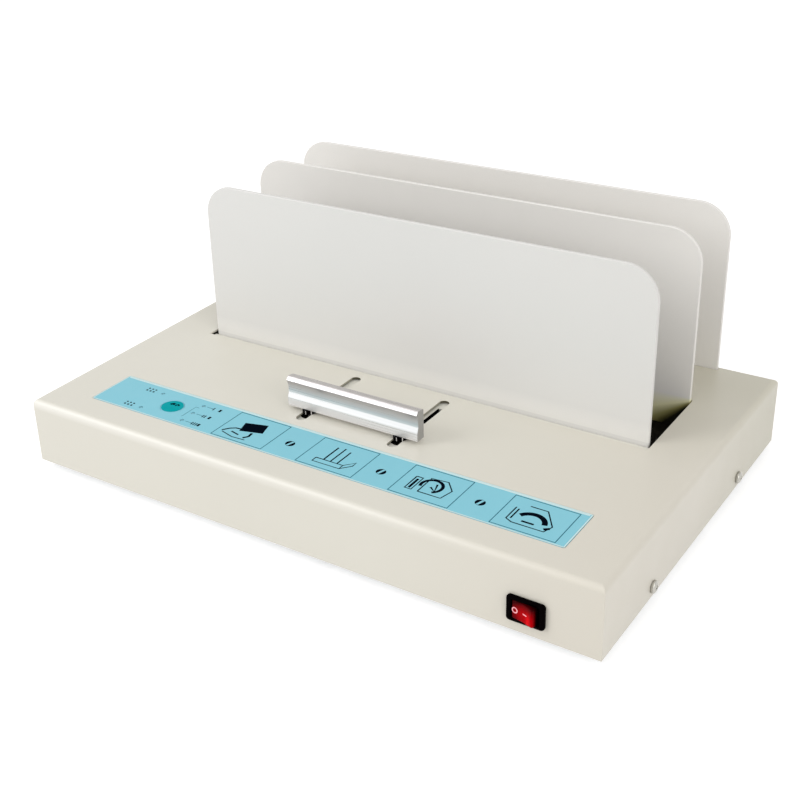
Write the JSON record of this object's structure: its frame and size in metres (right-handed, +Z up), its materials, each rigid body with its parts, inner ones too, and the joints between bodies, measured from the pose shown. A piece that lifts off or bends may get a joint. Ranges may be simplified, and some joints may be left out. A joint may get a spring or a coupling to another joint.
{
  "type": "thermal binding machine",
  "caption": "Desktop hot-melt binding machine: steel case with heated well, sliding clamp plate on a pull bar, fixed plates and cooling rack.",
  "frame": {"origin": "bottom centre of the part's bounding box, on the desk", "axes": "+Z up, the front with the mains switch faces -Y, +X to the right seen from the front"},
  "size_m": [0.385, 0.26, 0.154],
  "materials": {
    "case_paint": "satin powder coat, warm grey white",
    "plate_paint": "satin powder coat, cool white",
    "bright_steel": "bright nickel-plated steel",
    "zinc_steel": "zinc-plated sheet",
    "bar_metal": "drawn and anodised aluminium",
    "heater_metal": "heat-darkened aluminium",
    "brass": "tinned brass blade",
    "black_rubber": "moulded rubber",
    "black_plastic": "moulded black plastic",
    "red_plastic": "translucent red plastic",
    "label_print": "printed polyester film, light blue",
    "key_print": "printed key, teal",
    "lamp_plastic": "clear lamp resin",
    "board_green": "green solder mask on glass-fibre board",
    "nylon": "natural nylon",
    "mica": "mica-wrapped heating strip",
    "relay_blue": "moulded relay case"
  },
  "bodies": {
    "housing": {"back_plate": "plate_paint", "back_plate_screw_left": "bright_steel", "back_plate_screw_right": "bright_steel", "base_plate": "zinc_steel", "board_spacer_1": "nylon", "board_spacer_2": "nylon", "control_board": "board_green", "foot_front_left": "black_rubber", "foot_front_right": "black_rubber", "foot_rear_left": "black_rubber", "foot_rear_right": "black_rubber", "foot_screw_front_left": "bright_steel", "foot_screw_front_right": "bright_steel", "foot_screw_rear_left": "bright_steel", "foot_screw_rear_right": "bright_steel", "guide_rod_left": "bright_steel", "guide_rod_right": "bright_steel", "heater_plate": "heater_metal", "heater_relay": "relay_blue", "heater_strip_front": "mica", "heater_strip_rear": "mica", "heater_tray": "zinc_steel", "indicator_lamp_1": "lamp_plastic", "indicator_lamp_2": "lamp_plastic", "indicator_lamp_3": "lamp_plastic", "indicator_lamp_4": "lamp_plastic", "indicator_lamp_5": "lamp_plastic", "inlet_screw_left": "bright_steel", "inlet_screw_right": "bright_steel", "key_switch": "black_plastic", "middle_plate": "plate_paint", "middle_plate_screw_left": "bright_steel", "middle_plate_screw_right": "bright_steel", "overlay_label": "label_print", "power_board": "board_green", "power_inlet": "black_plastic", "rod_bracket_front": "zinc_steel", "rod_bracket_rear": "zinc_steel", "side_screw_left_front": "bright_steel", "side_screw_left_rear": "bright_steel", "side_screw_right_front": "bright_steel", "side_screw_right_rear": "bright_steel", "switch_body": "black_plastic", "switch_terminal_left": "brass", "switch_terminal_right": "brass", "thermal_cutout": "nylon", "thermal_fuse": "bright_steel", "top_cover": "case_paint", "transformer": "zinc_steel"},
    "clamp": {"front_plate": "plate_paint", "slide_plate": "case_paint", "handle_bar": "bar_metal", "handle_stud_left": "bright_steel", "handle_stud_right": "bright_steel", "slide_bush_left": "nylon", "slide_bush_right": "nylon", "front_plate_rivet_left": "bright_steel", "front_plate_rivet_right": "bright_steel"},
    "switch_rocker": {"switch_rocker": "red_plastic"},
    "start_key": {"start_key": "key_print"}
  },
  "joints": [
    {"name": "clamp_slide", "type": "slide", "parent": "housing", "child": "clamp", "axis": [0, 1, 0], "range_m": [-0.0055, 0.048]},
    {"name": "rocker_pivot", "type": "hinge", "parent": "housing", "child": "switch_rocker", "pos_m": [0.1499, -0.12484, 0.0205], "axis": [0, 0, 1], "range_deg": [0, 28]},
    {"name": "key_press", "type": "slide", "parent": "housing", "child": "start_key", "axis": [0, 0, -1], "range_m": [0, 0.0006], "stiffness_N_per_m": 400, "springref_m": -0.0005}
  ]
}
